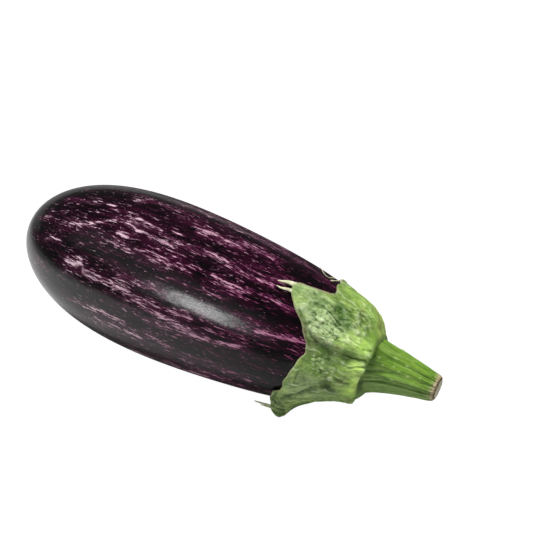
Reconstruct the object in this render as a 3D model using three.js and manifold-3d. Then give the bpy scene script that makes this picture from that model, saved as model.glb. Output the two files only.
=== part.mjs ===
// A striped eggplant lying on its side: the fruit, the green calyx that caps its stem end, and the
// cut stem. Millimetres, +Z up, resting on the plane Z = 0.
//
// The shape is worked out in the fruit's own frame first: X runs along the axis from the blossom
// end (X = 0) to the stem end, and a direction round the axis is an angle in degrees, counted from
// straight up towards -Y. The whole is then pitched stem end down, so that it balances on its belly.
import * as THREE from "three";
import { mergeVertices } from "three/addons/utils/BufferGeometryUtils.js";
import Module from "manifold-3d";

// Driving dimensions, in millimetres and degrees.
const FRUIT_LENGTH = 190.3; // length of the fruit's profile before its stem end is flattened
const GIRTH = [37.35, 5.69, 8.57, -5.81]; // radius at mid length, then how it varies towards the ends
const END_FLATTENING = 2.6; // how far the stem end is pressed in, under the calyx
const END_POWER = 12; // how sharply that flattening sets in
const SCAR = { radius: 2.8, depth: 0.8 }; // the corky dimple at the blossom end
const HOLLOW = { x: 171, length: 11, angle: 137, spread: 45, depth: 2.8 }; // slimmer lower shoulder
const SWELL_MIDDLE = { x: 80, length: 62 }; // where the body swells gently out of round
const SWELLS = [
  { lobes: 2, height: 0.3, phase: 0.6, twist: 60 },
  { lobes: 3, height: 0.22, phase: 2.1, twist: -45 },
]; // each turns by one radian over its twist

const PITCH = 4; // stem end lower than the blossom end, in degrees
const BELLY_X = 100; // place along the axis that touches the surface
const FLAT_DEPTH = 0.35; // how far the belly is pressed flat where it rests

const GAP = 0.3; // clearance between neighbouring pieces
const CALYX_POLE_THICKNESS = 2; // thickness under the stem
const CALYX_SHOULDER = { thickness: 1.3, reach: 25, spread: 12 }; // extra thickness at the shoulder
const CALYX_MARGIN_THICKNESS = 0.95;
const CALYX_LEAST_THICKNESS = 0.9;
const CALYX_THINS_FROM = 0.5; // share of the reach

// The calyx's edge, as [angle, reach] places, with reach counted along the fruit's surface from the
// stem-end pole: five sepals, from one notch to the next.
const MARGIN = [
  [-8.5, 43.2], [-3.3, 45.7], [0.7, 50.3], [3.5, 55], [4.6, 58.9], [7.8, 61.4], [11.2, 61],
  [15.3, 59.8], [19.9, 57.7], [24.5, 55.3], [31.1, 51.4], [38.4, 47.8], [44.7, 45.3], [49.3, 43.7],
  [56, 43], [65.6, 44.6], [74.2, 46.7], [83.5, 48.2], [94, 50], [102, 50.7], [105.5, 54], [112, 55.5],
  [120, 56], [129, 55.7], [135.5, 53], [146, 47], [160, 43], [170, 46], [178, 51], [186, 54],
  [194, 50.5], [203, 45.5], [212, 43], [224, 46], [238, 54], [250, 61], [260, 56], [272, 48],
  [288, 43], [295, 44], [303, 44.5], [309, 45.3], [314, 46.8], [319, 46.7], [328, 46], [336, 45.5],
  [345, 43.8], [351.5, 43.2],
];
const EDGE_WAVES = [
  { turns: 17, phase: 1, height: 0.25 },
  { turns: 29, phase: 0, height: 0.17 },
]; // how the edge wanders in and out
const PRONGS = [
  { angle: 8.3, length: 5, halfWidth: 1.3 },
  { angle: 14.5, length: 6, halfWidth: 1.3 },
]; // dry points left at the tip of the first sepal

// Where and how far the calyx stands off the fruit at its edge, with the spread in degrees.
const LIFTS = [
  { angle: 13, spread: 15, height: 0.8 },
  { angle: 128, spread: 20, height: 3.4 },
  { angle: 186, spread: 17, height: 0.2 },
  { angle: 250, spread: 17, height: 2 },
];
const LIFT_START = 0.68; // share of the reach where the calyx starts to leave the fruit
const FLUTTER = { turns: 9, phase: 0.5, height: 0.5 }; // the edge's own waves off the fruit
const ARCH = { at: [133, 52], spread: 4.3, height: 4.5 }; // the wide sepal arches before its tip

// Relief on the calyx. A place on it is [angle, reach]. A fold falls steeply to the left of its path
// and gently to the right.
const FOLDS = [
  {
    path: [[38, 20], [40, 26], [41, 31], [41, 36], [39, 42.5], [31, 47.3], [24, 55], [17, 59]],
    gentle: 9,
    steep: 1.2,
    height: 2,
  }, // lower border of the first sepal
  {
    path: [[40, 17.2], [55, 18.2], [79, 18.3], [93, 17.8], [112, 18.6]],
    gentle: 6.5,
    steep: 1.6,
    height: 3,
  }, // shoulder that drops to the stem
];
const RIDGES = [
  { path: [[61, 25], [57, 21.5], [54, 18.5]], width: 1.6, height: 1.3 },
  { path: [[124, 60], [113, 46.5], [102, 40], [95, 34], [92, 28]], width: 2.2, height: 1 },
  { path: [[119, 57], [106, 45], [96, 40], [91, 36], [87, 32]], width: 1.8, height: -1 },
  { path: [[-22, 20], [-30, 40]], width: 2.4, height: 1.1 },
  { path: [[4, 20], [10, 54]], width: 2.6, height: 0.7 },
  { path: [[188, 20], [186, 46]], width: 2.6, height: 0.7 },
  { path: [[240, 20], [250, 54]], width: 2.6, height: 1.2 },
  { path: [[290, 18], [287, 38]], width: 2.2, height: 1 },
];
const BUMPS = [
  { at: [24, 43], spread: 9, height: 1 }, // the first sepal bulges
  { at: [12, 36], spread: 4, height: -1 },
  { at: [62, 33], spread: 6, height: -0.7 }, // the web between the two near sepals
  { at: [86, 31], spread: 3, height: -1.7 },
  { at: [128, 30], spread: 9, height: -2.8 }, // the wide sepal lies close before its arch
  { at: [-46, 42], spread: 8, height: -0.4 },
  { at: [-56, 19], spread: 8, height: -1.9 }, // the third sepal lies close
  { at: [215, 26], spread: 6, height: -0.8 },
  { at: [265, 34], spread: 7, height: 0.8 },
];
const RELIEF_STARTS = { from: 13, full: 18 }; // reaches
const RELIEF_ENDS = { share: 0.85, drop: 0.85 }; // most of it fades over the last share of the reach

const STEM_END_X = 217.7;
const STEM_BASE_RADIUS = 12.8;
const STEM_END_RADIUS = 6.3;
const STEM_FLARE = { all: 1, near: 2.2, angle: 35, spread: 45, power: 8 }; // its foot is wider
const STEM_SWAY = { angle: 134, base: 1, end: -1 }; // the axis of the stem, off the fruit's
const STEM_GROOVES = [20, 51, 81, 114, 146, 178, 212, 246, 280, 314, 348]; // directions
const GROOVE = { halfWidth: 6, baseDepth: 1.4, endDepth: 0.5 }; // half width in degrees
const CUT_RIM = { length: 1.6, radius: 0.84 }; // the cut end's dried rim slopes in
const CUT_CORE = { height: 0.4, radius: 0.66 }; // and its core stands out

// How finely the curved surfaces are faceted.
const FRUIT_COLUMNS = 48;
const FRUIT_RINGS = 40;
const CALYX_INNER_REACHES = [5, 10, 13, 15, 16.6, 18.2, 21]; // rings of even reach, then even shares
const CALYX_OUTER_RINGS = 10;
const CALYX_COLUMNS_PER_PLACE = 3;
const STEM_SIDE_RINGS = 10;
const SEAT_SHARES = [0.3, 0.6, 0.8, 0.92, 1]; // rings of the stem's foot
const SEAT_REFINEMENTS = 6; // rounds of finding the calyx's top under the stem

const radians = THREE.MathUtils.degToRad;
const mix = THREE.MathUtils.lerp;
const smooth = THREE.MathUtils.smoothstep; // smooth(value, low, high)
const bell = (distance) => Math.exp(-distance * distance);
const turnBetween = (a, b) => THREE.MathUtils.euclideanModulo(a - b + 180, 360) - 180;

// ---------------------------------------------------------------- the fruit

// A point of the fruit's plain profile before its stem end is flattened: t runs from 0 at the blossom
// end to PI at the stem end.
function roundedProfile(t) {
  const c = Math.cos(t);
  const radius = Math.sin(t) * (GIRTH[0] + GIRTH[1] * c + GIRTH[2] * c ** 2 + GIRTH[3] * c ** 3);
  return { x: (FRUIT_LENGTH * (1 - c)) / 2, radius };
}

// The same with the stem end flattened.
function profile(t) {
  const { x, radius } = roundedProfile(t);
  return { x: x - END_FLATTENING * (x / FRUIT_LENGTH) ** END_POWER, radius };
}

// How far the fruit's surface departs from round at a place: gentle swells along the body, and the
// slimmer lower shoulder.
function departure(x, angle) {
  let swell = 0;
  for (const { lobes, height, phase, twist } of SWELLS)
    swell += height * Math.sin(lobes * radians(angle) + phase + x / twist);
  const across = turnBetween(angle, HOLLOW.angle) / HOLLOW.spread;
  const hollow = HOLLOW.depth * bell((x - HOLLOW.x) / HOLLOW.length) * bell(across);
  return bell((x - SWELL_MIDDLE.x) / SWELL_MIDDLE.length) * swell - hollow;
}

// A point in the fruit's frame, from its place along the axis, its radius and its direction.
function around(x, radius, angle) {
  const a = radians(angle);
  return new THREE.Vector3(x, -radius * Math.sin(a), radius * Math.cos(a));
}

function fruitPoint(t, angle) {
  const { x, radius } = profile(t);
  const dimple = SCAR.depth * bell(radius / SCAR.radius) * (t < 1 ? 1 : 0);
  return around(x + dimple, radius + departure(x, angle) * Math.sin(t), angle);
}

// Even steps of t, with the distance from the stem-end pole along the rounded profile.
const REACH_STEPS = 600;
const reachTable = [{ t: Math.PI, reach: 0 }];
for (let i = 1; i <= REACH_STEPS; i++) {
  const t = Math.PI * (1 - i / REACH_STEPS);
  const before = roundedProfile(reachTable[i - 1].t);
  const here = roundedProfile(t);
  const step = Math.hypot(here.x - before.x, here.radius - before.radius);
  reachTable.push({ t, reach: reachTable[i - 1].reach + step });
}

// The place t of the profile that lies a given distance from the stem-end pole.
function placeAtReach(reach) {
  const i = reachTable.findIndex((row) => row.reach >= reach);
  if (i <= 0) return Math.PI;
  const low = reachTable[i - 1];
  const high = reachTable[i];
  return mix(low.t, high.t, (reach - low.reach) / (high.reach - low.reach));
}

// A point at a height over the fruit, by direction and reach from the stem-end pole.
function overFruit(angle, reach, height) {
  const t = placeAtReach(reach);
  const delta = 1e-4;
  const a = profile(t - delta);
  const b = profile(Math.min(t + delta, Math.PI));
  const slope = Math.hypot(b.x - a.x, b.radius - a.radius);
  const { x, radius } = profile(t);
  const outX = -(b.radius - a.radius) / slope;
  const outRadius = (b.x - a.x) / slope;
  const surface = radius + departure(x, angle) * Math.sin(t);
  return around(x + outX * height, Math.max(surface + outRadius * height, 0), angle);
}

// ---------------------------------------------------------------- the calyx

// How far the calyx reaches from the stem-end pole in a direction, with its wavy edge.
function marginReach(angle) {
  const a = THREE.MathUtils.euclideanModulo(angle - MARGIN[0][0], 360) + MARGIN[0][0];
  const next = Math.max(MARGIN.findIndex(([direction]) => direction >= a), 1);
  const [from, to] = [MARGIN[next - 1], MARGIN[next]];
  let reach = mix(from[1], to[1], (a - from[0]) / (to[0] - from[0]));
  for (const wave of EDGE_WAVES) reach += wave.height * Math.sin(wave.turns * radians(a) + wave.phase);
  return reach;
}

// Distance on the calyx, in millimetres, from a place to the segment between two places, and how far
// the place lies to the segment's left.
function offSegment(angle, reach, from, to) {
  const perDegree = radians(profile(placeAtReach(reach)).radius);
  const toX = to[1] - from[1];
  const toY = turnBetween(to[0], from[0]) * perDegree;
  const x = reach - from[1];
  const y = turnBetween(angle, from[0]) * perDegree;
  const length = Math.hypot(toX, toY) + 1e-9;
  const along = THREE.MathUtils.clamp((x * toX + y * toY) / length ** 2, 0, 1);
  return { distance: Math.hypot(x - along * toX, y - along * toY), left: (toX * y - toY * x) / length };
}

// The same for the nearest segment of a path.
function offPath(angle, reach, path) {
  return path
    .slice(1)
    .map((to, i) => offSegment(angle, reach, path[i], to))
    .reduce((nearest, off) => (off.distance < nearest.distance ? off : nearest));
}

const offPlace = (angle, reach, [direction, placeReach]) =>
  offSegment(angle, reach, [direction, placeReach], [direction, placeReach + 0.01]).distance;

function relief(angle, reach) {
  let height = 0;
  for (const fold of FOLDS) {
    const { distance, left } = offPath(angle, reach, fold.path);
    height += fold.height * bell(distance / (left < 0 ? fold.gentle : fold.steep));
  }
  for (const ridge of RIDGES)
    height += ridge.height * bell(offPath(angle, reach, ridge.path).distance / ridge.width);
  for (const bump of BUMPS) height += bump.height * bell(offPlace(angle, reach, bump.at) / bump.spread);
  return height;
}

// Heights of the calyx's inner and outer face over the fruit.
function calyxHeights(angle, reach) {
  const share = reach / marginReach(angle);
  let lift = (FLUTTER.height / 2) * (1 + Math.sin(FLUTTER.turns * radians(angle) + FLUTTER.phase));
  for (const place of LIFTS) lift += place.height * bell(turnBetween(angle, place.angle) / place.spread);
  const arch = ARCH.height * bell(offPlace(angle, reach, ARCH.at) / ARCH.spread);
  const inner = GAP + smooth(share, LIFT_START, 1) ** 1.5 * lift + arch;
  const shoulder = CALYX_SHOULDER.thickness * bell((reach - CALYX_SHOULDER.reach) / CALYX_SHOULDER.spread);
  const thinning = smooth(share, CALYX_THINS_FROM, 1);
  const thickness = mix(CALYX_POLE_THICKNESS + shoulder, CALYX_MARGIN_THICKNESS, thinning);
  const fade = 1 - RELIEF_ENDS.drop * smooth(share, RELIEF_ENDS.share, 1);
  const shape = relief(angle, reach) * smooth(reach, RELIEF_STARTS.from, RELIEF_STARTS.full) * fade;
  return { inner, outer: inner + Math.max(thickness + shape, CALYX_LEAST_THICKNESS) };
}

// Directions of the calyx's columns: the places of its edge, even steps between them, and the feet
// and points of the prongs.
function calyxColumns() {
  const angles = [];
  for (let i = 0; i + 1 < MARGIN.length; i++)
    for (let k = 0; k < CALYX_COLUMNS_PER_PLACE; k++)
      angles.push(mix(MARGIN[i][0], MARGIN[i + 1][0], k / CALYX_COLUMNS_PER_PLACE));
  const clear = (angle) =>
    PRONGS.every((prong) => Math.abs(turnBetween(angle, prong.angle)) > 1.3 * prong.halfWidth);
  const kept = angles.filter(clear);
  for (const { angle, halfWidth } of PRONGS) kept.push(angle - halfWidth, angle, angle + halfWidth);
  return kept.sort((a, b) => a - b);
}

// The reaches of one column's rings, where only the edge itself has the prongs.
function columnReaches(angle) {
  const last = CALYX_INNER_REACHES[CALYX_INNER_REACHES.length - 1];
  const outer = evenly(CALYX_OUTER_RINGS, (k) => mix(last, marginReach(angle), (k + 1) / CALYX_OUTER_RINGS));
  for (const prong of PRONGS) {
    const off = Math.abs(turnBetween(angle, prong.angle)) / prong.halfWidth;
    outer[CALYX_OUTER_RINGS - 1] += prong.length * Math.max(0, 1 - off);
  }
  return [...CALYX_INNER_REACHES, ...outer];
}

// ---------------------------------------------------------------- the stem

const stemAxisOffset = (along) => mix(STEM_SWAY.end, STEM_SWAY.base, (1 - along) ** 4);

// Radius of the stem in a direction: along is 0 at the calyx and 1 at the cut end.
function stemRadius(angle, along) {
  const near = STEM_FLARE.near * bell(turnBetween(angle, STEM_FLARE.angle) / STEM_FLARE.spread);
  const flare = (STEM_FLARE.all + near) * (1 - along) ** STEM_FLARE.power;
  const plain = mix(STEM_BASE_RADIUS, STEM_END_RADIUS, along) + flare;
  const nearest = Math.min(...STEM_GROOVES.map((groove) => Math.abs(turnBetween(angle, groove))));
  return plain - mix(GROOVE.baseDepth, GROOVE.endDepth, along) * bell(nearest / GROOVE.halfWidth);
}

function stemPoint(x, radius, angle, along) {
  const sway = around(0, stemAxisOffset(along), STEM_SWAY.angle);
  return around(x, radius, angle).add(sway);
}

// The height along X of the calyx's outer face at a distance from the fruit's axis.
function calyxTopX(distance, angle) {
  let reach = distance;
  let point;
  for (let i = 0; i < SEAT_REFINEMENTS; i++) {
    point = overFruit(angle, reach, calyxHeights(angle, reach).outer);
    reach = Math.max(reach + distance - Math.hypot(point.y, point.z), 0);
  }
  return point.x;
}

// ---------------------------------------------------------------- solids

// A closed surface through rings of equal length, from a pole to a pole. Past foldRing the quads
// are split along their other diagonal, so that the two faces of a thin sheet are split alike.
function closedSurface(start, rings, end, foldRing = Infinity) {
  const columns = rings[0].length;
  const points = [start, ...rings.flat(), end];
  const at = (ring, column) => 1 + ring * columns + (column % columns);
  const last = points.length - 1;
  const faces = [];
  for (let j = 0; j < columns; j++) {
    faces.push([0, at(0, j), at(0, j + 1)]);
    faces.push([last, at(rings.length - 1, j + 1), at(rings.length - 1, j)]);
    for (let k = 0; k + 1 < rings.length; k++) {
      const [a, b, c, d] = [at(k, j), at(k + 1, j), at(k + 1, j + 1), at(k, j + 1)];
      if (k < foldRing) faces.push([a, b, c], [a, c, d]);
      else faces.push([a, b, d], [b, c, d]);
    }
  }
  const sixth = ([a, b, c]) => points[a].dot(points[b].clone().cross(points[c]));
  const volume = faces.reduce((sum, face) => sum + sixth(face), 0);
  if (volume < 0) faces.forEach((face) => face.reverse());
  const geometry = new THREE.BufferGeometry().setFromPoints(points);
  return geometry.setIndex(faces.flat());
}

const evenly = (count, make) => Array.from({ length: count }, (_, i) => make(i));

function fruitGeometry() {
  const rings = evenly(FRUIT_RINGS - 1, (k) => {
    const t = (Math.PI * (k + 1)) / FRUIT_RINGS;
    return evenly(FRUIT_COLUMNS, (j) => fruitPoint(t, (360 * j) / FRUIT_COLUMNS));
  });
  return closedSurface(fruitPoint(0, 0), rings, fruitPoint(Math.PI, 0));
}

function calyxGeometry() {
  const columns = calyxColumns().map((angle) => {
    const reaches = columnReaches(angle);
    const face = (side) => reaches.map((reach) => overFruit(angle, reach, calyxHeights(angle, reach)[side]));
    return [...face("outer"), ...face("inner").reverse()];
  });
  const rings = evenly(columns[0].length, (k) => columns.map((column) => column[k]));
  const pole = (side) => overFruit(0, 0, calyxHeights(0, 0)[side]);
  return closedSurface(pole("outer"), rings, pole("inner"), rings.length / 2);
}

// Directions of the stem's columns: the bottom and sides of each groove, and the rib after it.
function stemColumns() {
  return STEM_GROOVES.flatMap((groove, i) => {
    const next = STEM_GROOVES[(i + 1) % STEM_GROOVES.length];
    const toRib = THREE.MathUtils.euclideanModulo(next - groove, 360) / 2;
    return [groove - GROOVE.halfWidth, groove, groove + GROOVE.halfWidth, groove + toRib];
  });
}

function stemGeometry() {
  const angles = stemColumns();
  const seat = SEAT_SHARES.map((share) =>
    angles.map((angle) => {
      const point = stemPoint(0, share * stemRadius(angle, 0), angle, 0);
      const off = Math.hypot(point.y, point.z);
      const direction = THREE.MathUtils.radToDeg(Math.atan2(-point.y, point.z));
      point.x = calyxTopX(off, direction) + GAP;
      return point;
    }),
  );
  const foot = seat[seat.length - 1];
  const side = evenly(STEM_SIDE_RINGS, (k) => {
    const along = (k + 1) / STEM_SIDE_RINGS;
    return angles.map((angle, j) => {
      const x = mix(foot[j].x, STEM_END_X - CUT_RIM.length, along);
      return stemPoint(x, stemRadius(angle, along), angle, along);
    });
  });
  const cutRing = (x, share) => angles.map((angle) => stemPoint(x, share * stemRadius(angle, 1), angle, 1));
  const rim = cutRing(STEM_END_X, CUT_RIM.radius);
  const core = cutRing(STEM_END_X + CUT_CORE.height, CUT_CORE.radius);
  const start = stemPoint(calyxTopX(STEM_SWAY.base, STEM_SWAY.angle) + GAP, 0, 0, 0);
  const end = stemPoint(STEM_END_X + CUT_CORE.height, 0, 0, 1);
  return closedSurface(start, [...seat, ...side, rim, core], end);
}

// How low the belly hangs under its axis once the fruit is pitched, less what is pressed flat.
const BELLY_STEPS = 2000;
const bellyHeights = evenly(BELLY_STEPS, (i) => {
  const t = (Math.PI * (i + 1)) / BELLY_STEPS;
  const { x, radius } = profile(t);
  const z = -radius - departure(x, 180) * Math.sin(t);
  return z * Math.cos(radians(PITCH)) - (x - BELLY_X) * Math.sin(radians(PITCH));
});
const bellyDrop = Math.min(...bellyHeights) + FLAT_DEPTH;

// Pitches a geometry about the belly and stands it on Z = 0.
const place = new THREE.Matrix4()
  .makeTranslation(0, 0, -bellyDrop)
  .multiply(new THREE.Matrix4().makeRotationY(radians(PITCH)))
  .multiply(new THREE.Matrix4().makeTranslation(-BELLY_X, 0, 0));

const wasm = await Module();
wasm.setup();

function solidFrom(geometry) {
  const bare = geometry.clone();
  bare.deleteAttribute("normal");
  bare.deleteAttribute("uv");
  const merged = mergeVertices(bare);
  const vertProperties = new Float32Array(merged.attributes.position.array);
  const triVerts = new Uint32Array(merged.index.array);
  return new wasm.Manifold(new wasm.Mesh({ numProp: 3, vertProperties, triVerts }));
}

function geometryFrom(solid) {
  const mesh = solid.getMesh();
  const geometry = new THREE.BufferGeometry();
  geometry.setAttribute("position", new THREE.BufferAttribute(mesh.vertProperties, 3));
  return geometry.setIndex(new THREE.BufferAttribute(mesh.triVerts, 1));
}

// Cuts off what reaches below the surface, which leaves the flat spot that the belly rests on.
function restedOnFlat(geometry) {
  const size = 2 * FRUIT_LENGTH;
  const below = new THREE.BoxGeometry(size, size, size).translate(0, 0, -size / 2);
  return geometryFrom(solidFrom(geometry).subtract(solidFrom(below)));
}

const material = (color, roughness) => new THREE.MeshStandardMaterial({ color, roughness, metalness: 0 });

function part(name, geometry, finish) {
  const placed = geometry.applyMatrix4(place);
  const mesh = new THREE.Mesh(name === "fruit" ? restedOnFlat(placed) : placed, finish);
  mesh.name = name;
  mesh.geometry.computeVertexNormals();
  return mesh;
}

const eggplant = new THREE.Group();
eggplant.add(
  part("fruit", fruitGeometry(), material("#2a0d24", 0.2)),
  part("calyx", calyxGeometry(), material("#6f9a45", 0.6)),
  part("stem", stemGeometry(), material("#6aa62c", 0.5)),
);

// The origin is the middle of the whole, on the surface that it rests on.
const middle = new THREE.Box3().setFromObject(eggplant).getCenter(new THREE.Vector3());
eggplant.position.set(-middle.x, -middle.y, 0);

export default eggplant;
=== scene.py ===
"""A striped eggplant on white paper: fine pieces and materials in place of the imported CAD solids.

The fruit, calyx and stem follow the same formulas and driving dimensions as the CAD source, in
millimetres in the fruit's own frame: X along the axis from the blossom end to the stem end, and a
direction round the axis as an angle in degrees from straight up towards -Y.
"""

import math

import bpy
import numpy as np
from mathutils import Matrix, Vector


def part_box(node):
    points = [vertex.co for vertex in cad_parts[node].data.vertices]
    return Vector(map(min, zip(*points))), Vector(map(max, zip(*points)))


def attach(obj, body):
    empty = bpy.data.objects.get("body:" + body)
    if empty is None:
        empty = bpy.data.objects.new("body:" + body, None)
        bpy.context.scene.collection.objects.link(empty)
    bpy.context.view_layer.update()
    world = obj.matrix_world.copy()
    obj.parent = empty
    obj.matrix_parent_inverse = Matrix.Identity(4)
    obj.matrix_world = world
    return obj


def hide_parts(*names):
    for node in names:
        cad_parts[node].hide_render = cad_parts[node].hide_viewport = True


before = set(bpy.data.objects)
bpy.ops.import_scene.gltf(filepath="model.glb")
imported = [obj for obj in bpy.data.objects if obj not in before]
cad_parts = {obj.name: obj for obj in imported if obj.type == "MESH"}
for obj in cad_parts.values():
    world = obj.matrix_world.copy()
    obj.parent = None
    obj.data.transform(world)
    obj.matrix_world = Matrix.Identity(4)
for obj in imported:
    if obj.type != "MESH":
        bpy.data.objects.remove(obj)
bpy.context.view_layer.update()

MM = 0.001

# ---- the shape, as in the CAD source

FRUIT_LENGTH = 190.3
GIRTH = (37.35, 5.69, 8.57, -5.81)
END_FLATTENING = 2.6
END_POWER = 12
SCAR_RADIUS, SCAR_DEPTH = 2.8, 0.8
HOLLOW_X, HOLLOW_LENGTH, HOLLOW_ANGLE, HOLLOW_SPREAD, HOLLOW_DEPTH = 171, 11, 137, 45, 2.8
SWELL_X, SWELL_LENGTH = 80, 62
SWELLS = ((2, 0.3, 0.6, 60), (3, 0.22, 2.1, -45))  # lobes, height, phase, twist

PITCH = math.radians(4)
BELLY_X = 100
FLAT_DEPTH = 0.35

GAP = 0.3
CALYX_POLE_THICKNESS = 2
SHOULDER_THICKNESS, SHOULDER_REACH, SHOULDER_SPREAD = 1.3, 25, 12
CALYX_MARGIN_THICKNESS = 0.95
CALYX_LEAST_THICKNESS = 0.9
CALYX_THINS_FROM = 0.5

# The calyx's edge, as (angle, reach) places: five sepals, from one notch to the next.
MARGIN = (
    (-8.5, 43.2), (-3.3, 45.7), (0.7, 50.3), (3.5, 55), (4.6, 58.9), (7.8, 61.4), (11.2, 61), (15.3, 59.8),
    (19.9, 57.7), (24.5, 55.3), (31.1, 51.4), (38.4, 47.8), (44.7, 45.3), (49.3, 43.7), (56, 43),
    (65.6, 44.6), (74.2, 46.7), (83.5, 48.2), (94, 50), (102, 50.7), (105.5, 54), (112, 55.5), (120, 56),
    (129, 55.7), (135.5, 53), (146, 47), (160, 43), (170, 46), (178, 51), (186, 54), (194, 50.5),
    (203, 45.5), (212, 43), (224, 46), (238, 54), (250, 61), (260, 56), (272, 48), (288, 43), (295, 44),
    (303, 44.5), (309, 45.3), (314, 46.8), (319, 46.7), (328, 46), (336, 45.5), (345, 43.8), (351.5, 43.2),
)
EDGE_WAVES = ((17, 1, 0.25), (29, 0, 0.17))  # turns, phase, height
# Where and how far the calyx stands off the fruit: direction, spread in degrees, height at the edge.
LIFTS = ((13, 15, 0.8), (128, 20, 3.4), (186, 17, 0.2), (250, 17, 2))
LIFT_START = 0.68
FLUTTER_TURNS, FLUTTER_PHASE, FLUTTER_HEIGHT = 9, 0.5, 0.5
ARCH_PLACE, ARCH_SPREAD, ARCH_HEIGHT = (133, 52), 4.3, 4.5

# Relief on the calyx, by (angle, reach) places and in millimetres. A fold falls steeply to the left
# of its path and gently to the right: path, gentle width, steep width, height.
PAD_BORDER = ((38, 20), (40, 26), (41, 31), (41, 36), (39, 42.5), (31, 47.3), (24, 55), (17, 59))
SHOULDER = ((40, 17.2), (55, 18.2), (79, 18.3), (93, 17.8), (112, 18.6))
FOLDS = ((PAD_BORDER, 9, 1.2, 2.0), (SHOULDER, 6.5, 1.6, 3.0))
# Ridges and grooves of even sides: half width, height and path.
RIDGES = (
    (1.6, 1.3, (61, 25), (57, 21.5), (54, 18.5)),
    (2.2, 1, (124, 60), (113, 46.5), (102, 40), (95, 34), (92, 28)),
    (1.8, -1, (119, 57), (106, 45), (96, 40), (91, 36), (87, 32)), (2.4, 1.1, (-22, 20), (-30, 40)),
    (2.6, 0.7, (4, 20), (10, 54)), (2.6, 0.7, (188, 20), (186, 46)), (2.6, 1.2, (240, 20), (250, 54)),
    (2.2, 1, (290, 18), (287, 38)),
)
# Round bumps and hollows: angle, reach, spread and height.
BUMPS = (
    (24, 43, 9, 1), (12, 36, 4, -1), (62, 33, 6, -0.7), (86, 31, 3, -1.7), (128, 30, 9, -2.8),
    (-46, 42, 8, -0.4), (-56, 19, 8, -1.9), (215, 26, 6, -0.8), (265, 34, 7, 0.8),
)
RELIEF_FROM, RELIEF_FULL = 13, 18
RELIEF_FADE_SHARE, RELIEF_FADE = 0.85, 0.85

STEM_BASE_RADIUS = 12.8
STEM_END_X = 217.7
STEM_END_RADIUS = 6.3
STEM_FLARE, FLARE_NEAR, FLARE_ANGLE, FLARE_SPREAD, FLARE_POWER = 1, 2.2, 35, 45, 8
STEM_SWAY_ANGLE, STEM_SWAY_BASE, STEM_SWAY_END = 134, 1, -1
STEM_GROOVES = (20, 51, 81, 114, 146, 178, 212, 246, 280, 314, 348)
GROOVE_HALF_WIDTH, GROOVE_BASE_DEPTH, GROOVE_END_DEPTH = 6, 1.4, 0.5


def mix(a, b, share):
    return a + (b - a) * share


def smooth(value, low, high):
    share = np.clip((value - low) / (high - low), 0, 1)
    return share * share * (3 - 2 * share)


def bell(distance):
    return np.exp(-np.square(distance))


def turn_between(a, b):
    return (a - b + 180) % 360 - 180


def near_angle(angle, direction, spread):
    return bell(turn_between(angle, direction) / spread)


def rounded_profile(t):
    """Place along the axis and radius of the fruit before its stem end is flattened: t is 0 at the
    blossom end and pi at the stem end."""
    c = np.cos(t)
    radius = np.sin(t) * (GIRTH[0] + GIRTH[1] * c + GIRTH[2] * c**2 + GIRTH[3] * c**3)
    return FRUIT_LENGTH * (1 - c) / 2, radius


def profile(t):
    x, radius = rounded_profile(t)
    return x - END_FLATTENING * (x / FRUIT_LENGTH) ** END_POWER, radius


def departure(x, angle):
    a = np.radians(angle)
    swell = sum(height * np.sin(lobes * a + phase + x / twist) for lobes, height, phase, twist in SWELLS)
    hollow = bell((x - HOLLOW_X) / HOLLOW_LENGTH) * near_angle(angle, HOLLOW_ANGLE, HOLLOW_SPREAD)
    return bell((x - SWELL_X) / SWELL_LENGTH) * swell - HOLLOW_DEPTH * hollow


def around(x, radius, angle):
    a = np.radians(angle)
    return np.stack(np.broadcast_arrays(x, -radius * np.sin(a), radius * np.cos(a)), -1)


def laid_out(length, tube_radius, angle):
    """Places for patterns: a length, and a direction laid round a tube so that cells keep their size."""
    a = np.radians(angle)
    return np.stack([length, tube_radius * np.cos(a), tube_radius * np.sin(a)], -1)


def fruit_points(t, angle):
    x, radius = profile(t)
    dimple = SCAR_DEPTH * bell(radius / SCAR_RADIUS) * (t < 1)
    return around(x + dimple, radius + departure(x, angle) * np.sin(t), angle)


PROFILE_T = np.linspace(math.pi, 0, 2001)
PROFILE_X, PROFILE_RADIUS = rounded_profile(PROFILE_T)
PROFILE_REACH = np.concatenate([[0], np.cumsum(np.hypot(np.diff(PROFILE_X), np.diff(PROFILE_RADIUS)))])


def place_at_reach(reach):
    return np.interp(reach, PROFILE_REACH, PROFILE_T)


def over_fruit(angle, reach, height):
    """A point at a height over the fruit, by direction and distance from the stem-end pole."""
    t = place_at_reach(reach)
    step = 1e-4
    x0, r0 = profile(t - step)
    x1, r1 = profile(np.minimum(t + step, math.pi))
    slope = np.hypot(x1 - x0, r1 - r0)
    x, radius = profile(t)
    surface = radius + departure(x, angle) * np.sin(t)
    out_x, out_radius = -(r1 - r0) / slope, (x1 - x0) / slope
    return around(x + out_x * height, np.maximum(surface + out_radius * height, 0), angle)


def margin_reach(angle):
    """How far the calyx reaches from the stem-end pole in a direction."""
    angles, reaches = zip(*MARGIN)
    a = np.radians(angle)
    wave = sum(height * np.sin(turns * a + phase) for turns, phase, height in EDGE_WAVES)
    return np.interp((angle - angles[0]) % 360 + angles[0], angles, reaches) + wave


def off_segment(angle, reach, start, end):
    """Distance on the calyx, in millimetres, from places to the segment between two places, and
    how far they lie to its left."""
    per_degree = np.radians(profile(place_at_reach(reach))[1])
    to_x, to_y = end[1] - start[1], turn_between(end[0], start[0]) * per_degree
    x, y = reach - start[1], turn_between(angle, start[0]) * per_degree
    length = np.hypot(to_x, to_y) + 1e-9
    along = np.clip((x * to_x + y * to_y) / length**2, 0, 1)
    return np.hypot(x - along * to_x, y - along * to_y), (to_x * y - to_y * x) / length


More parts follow.
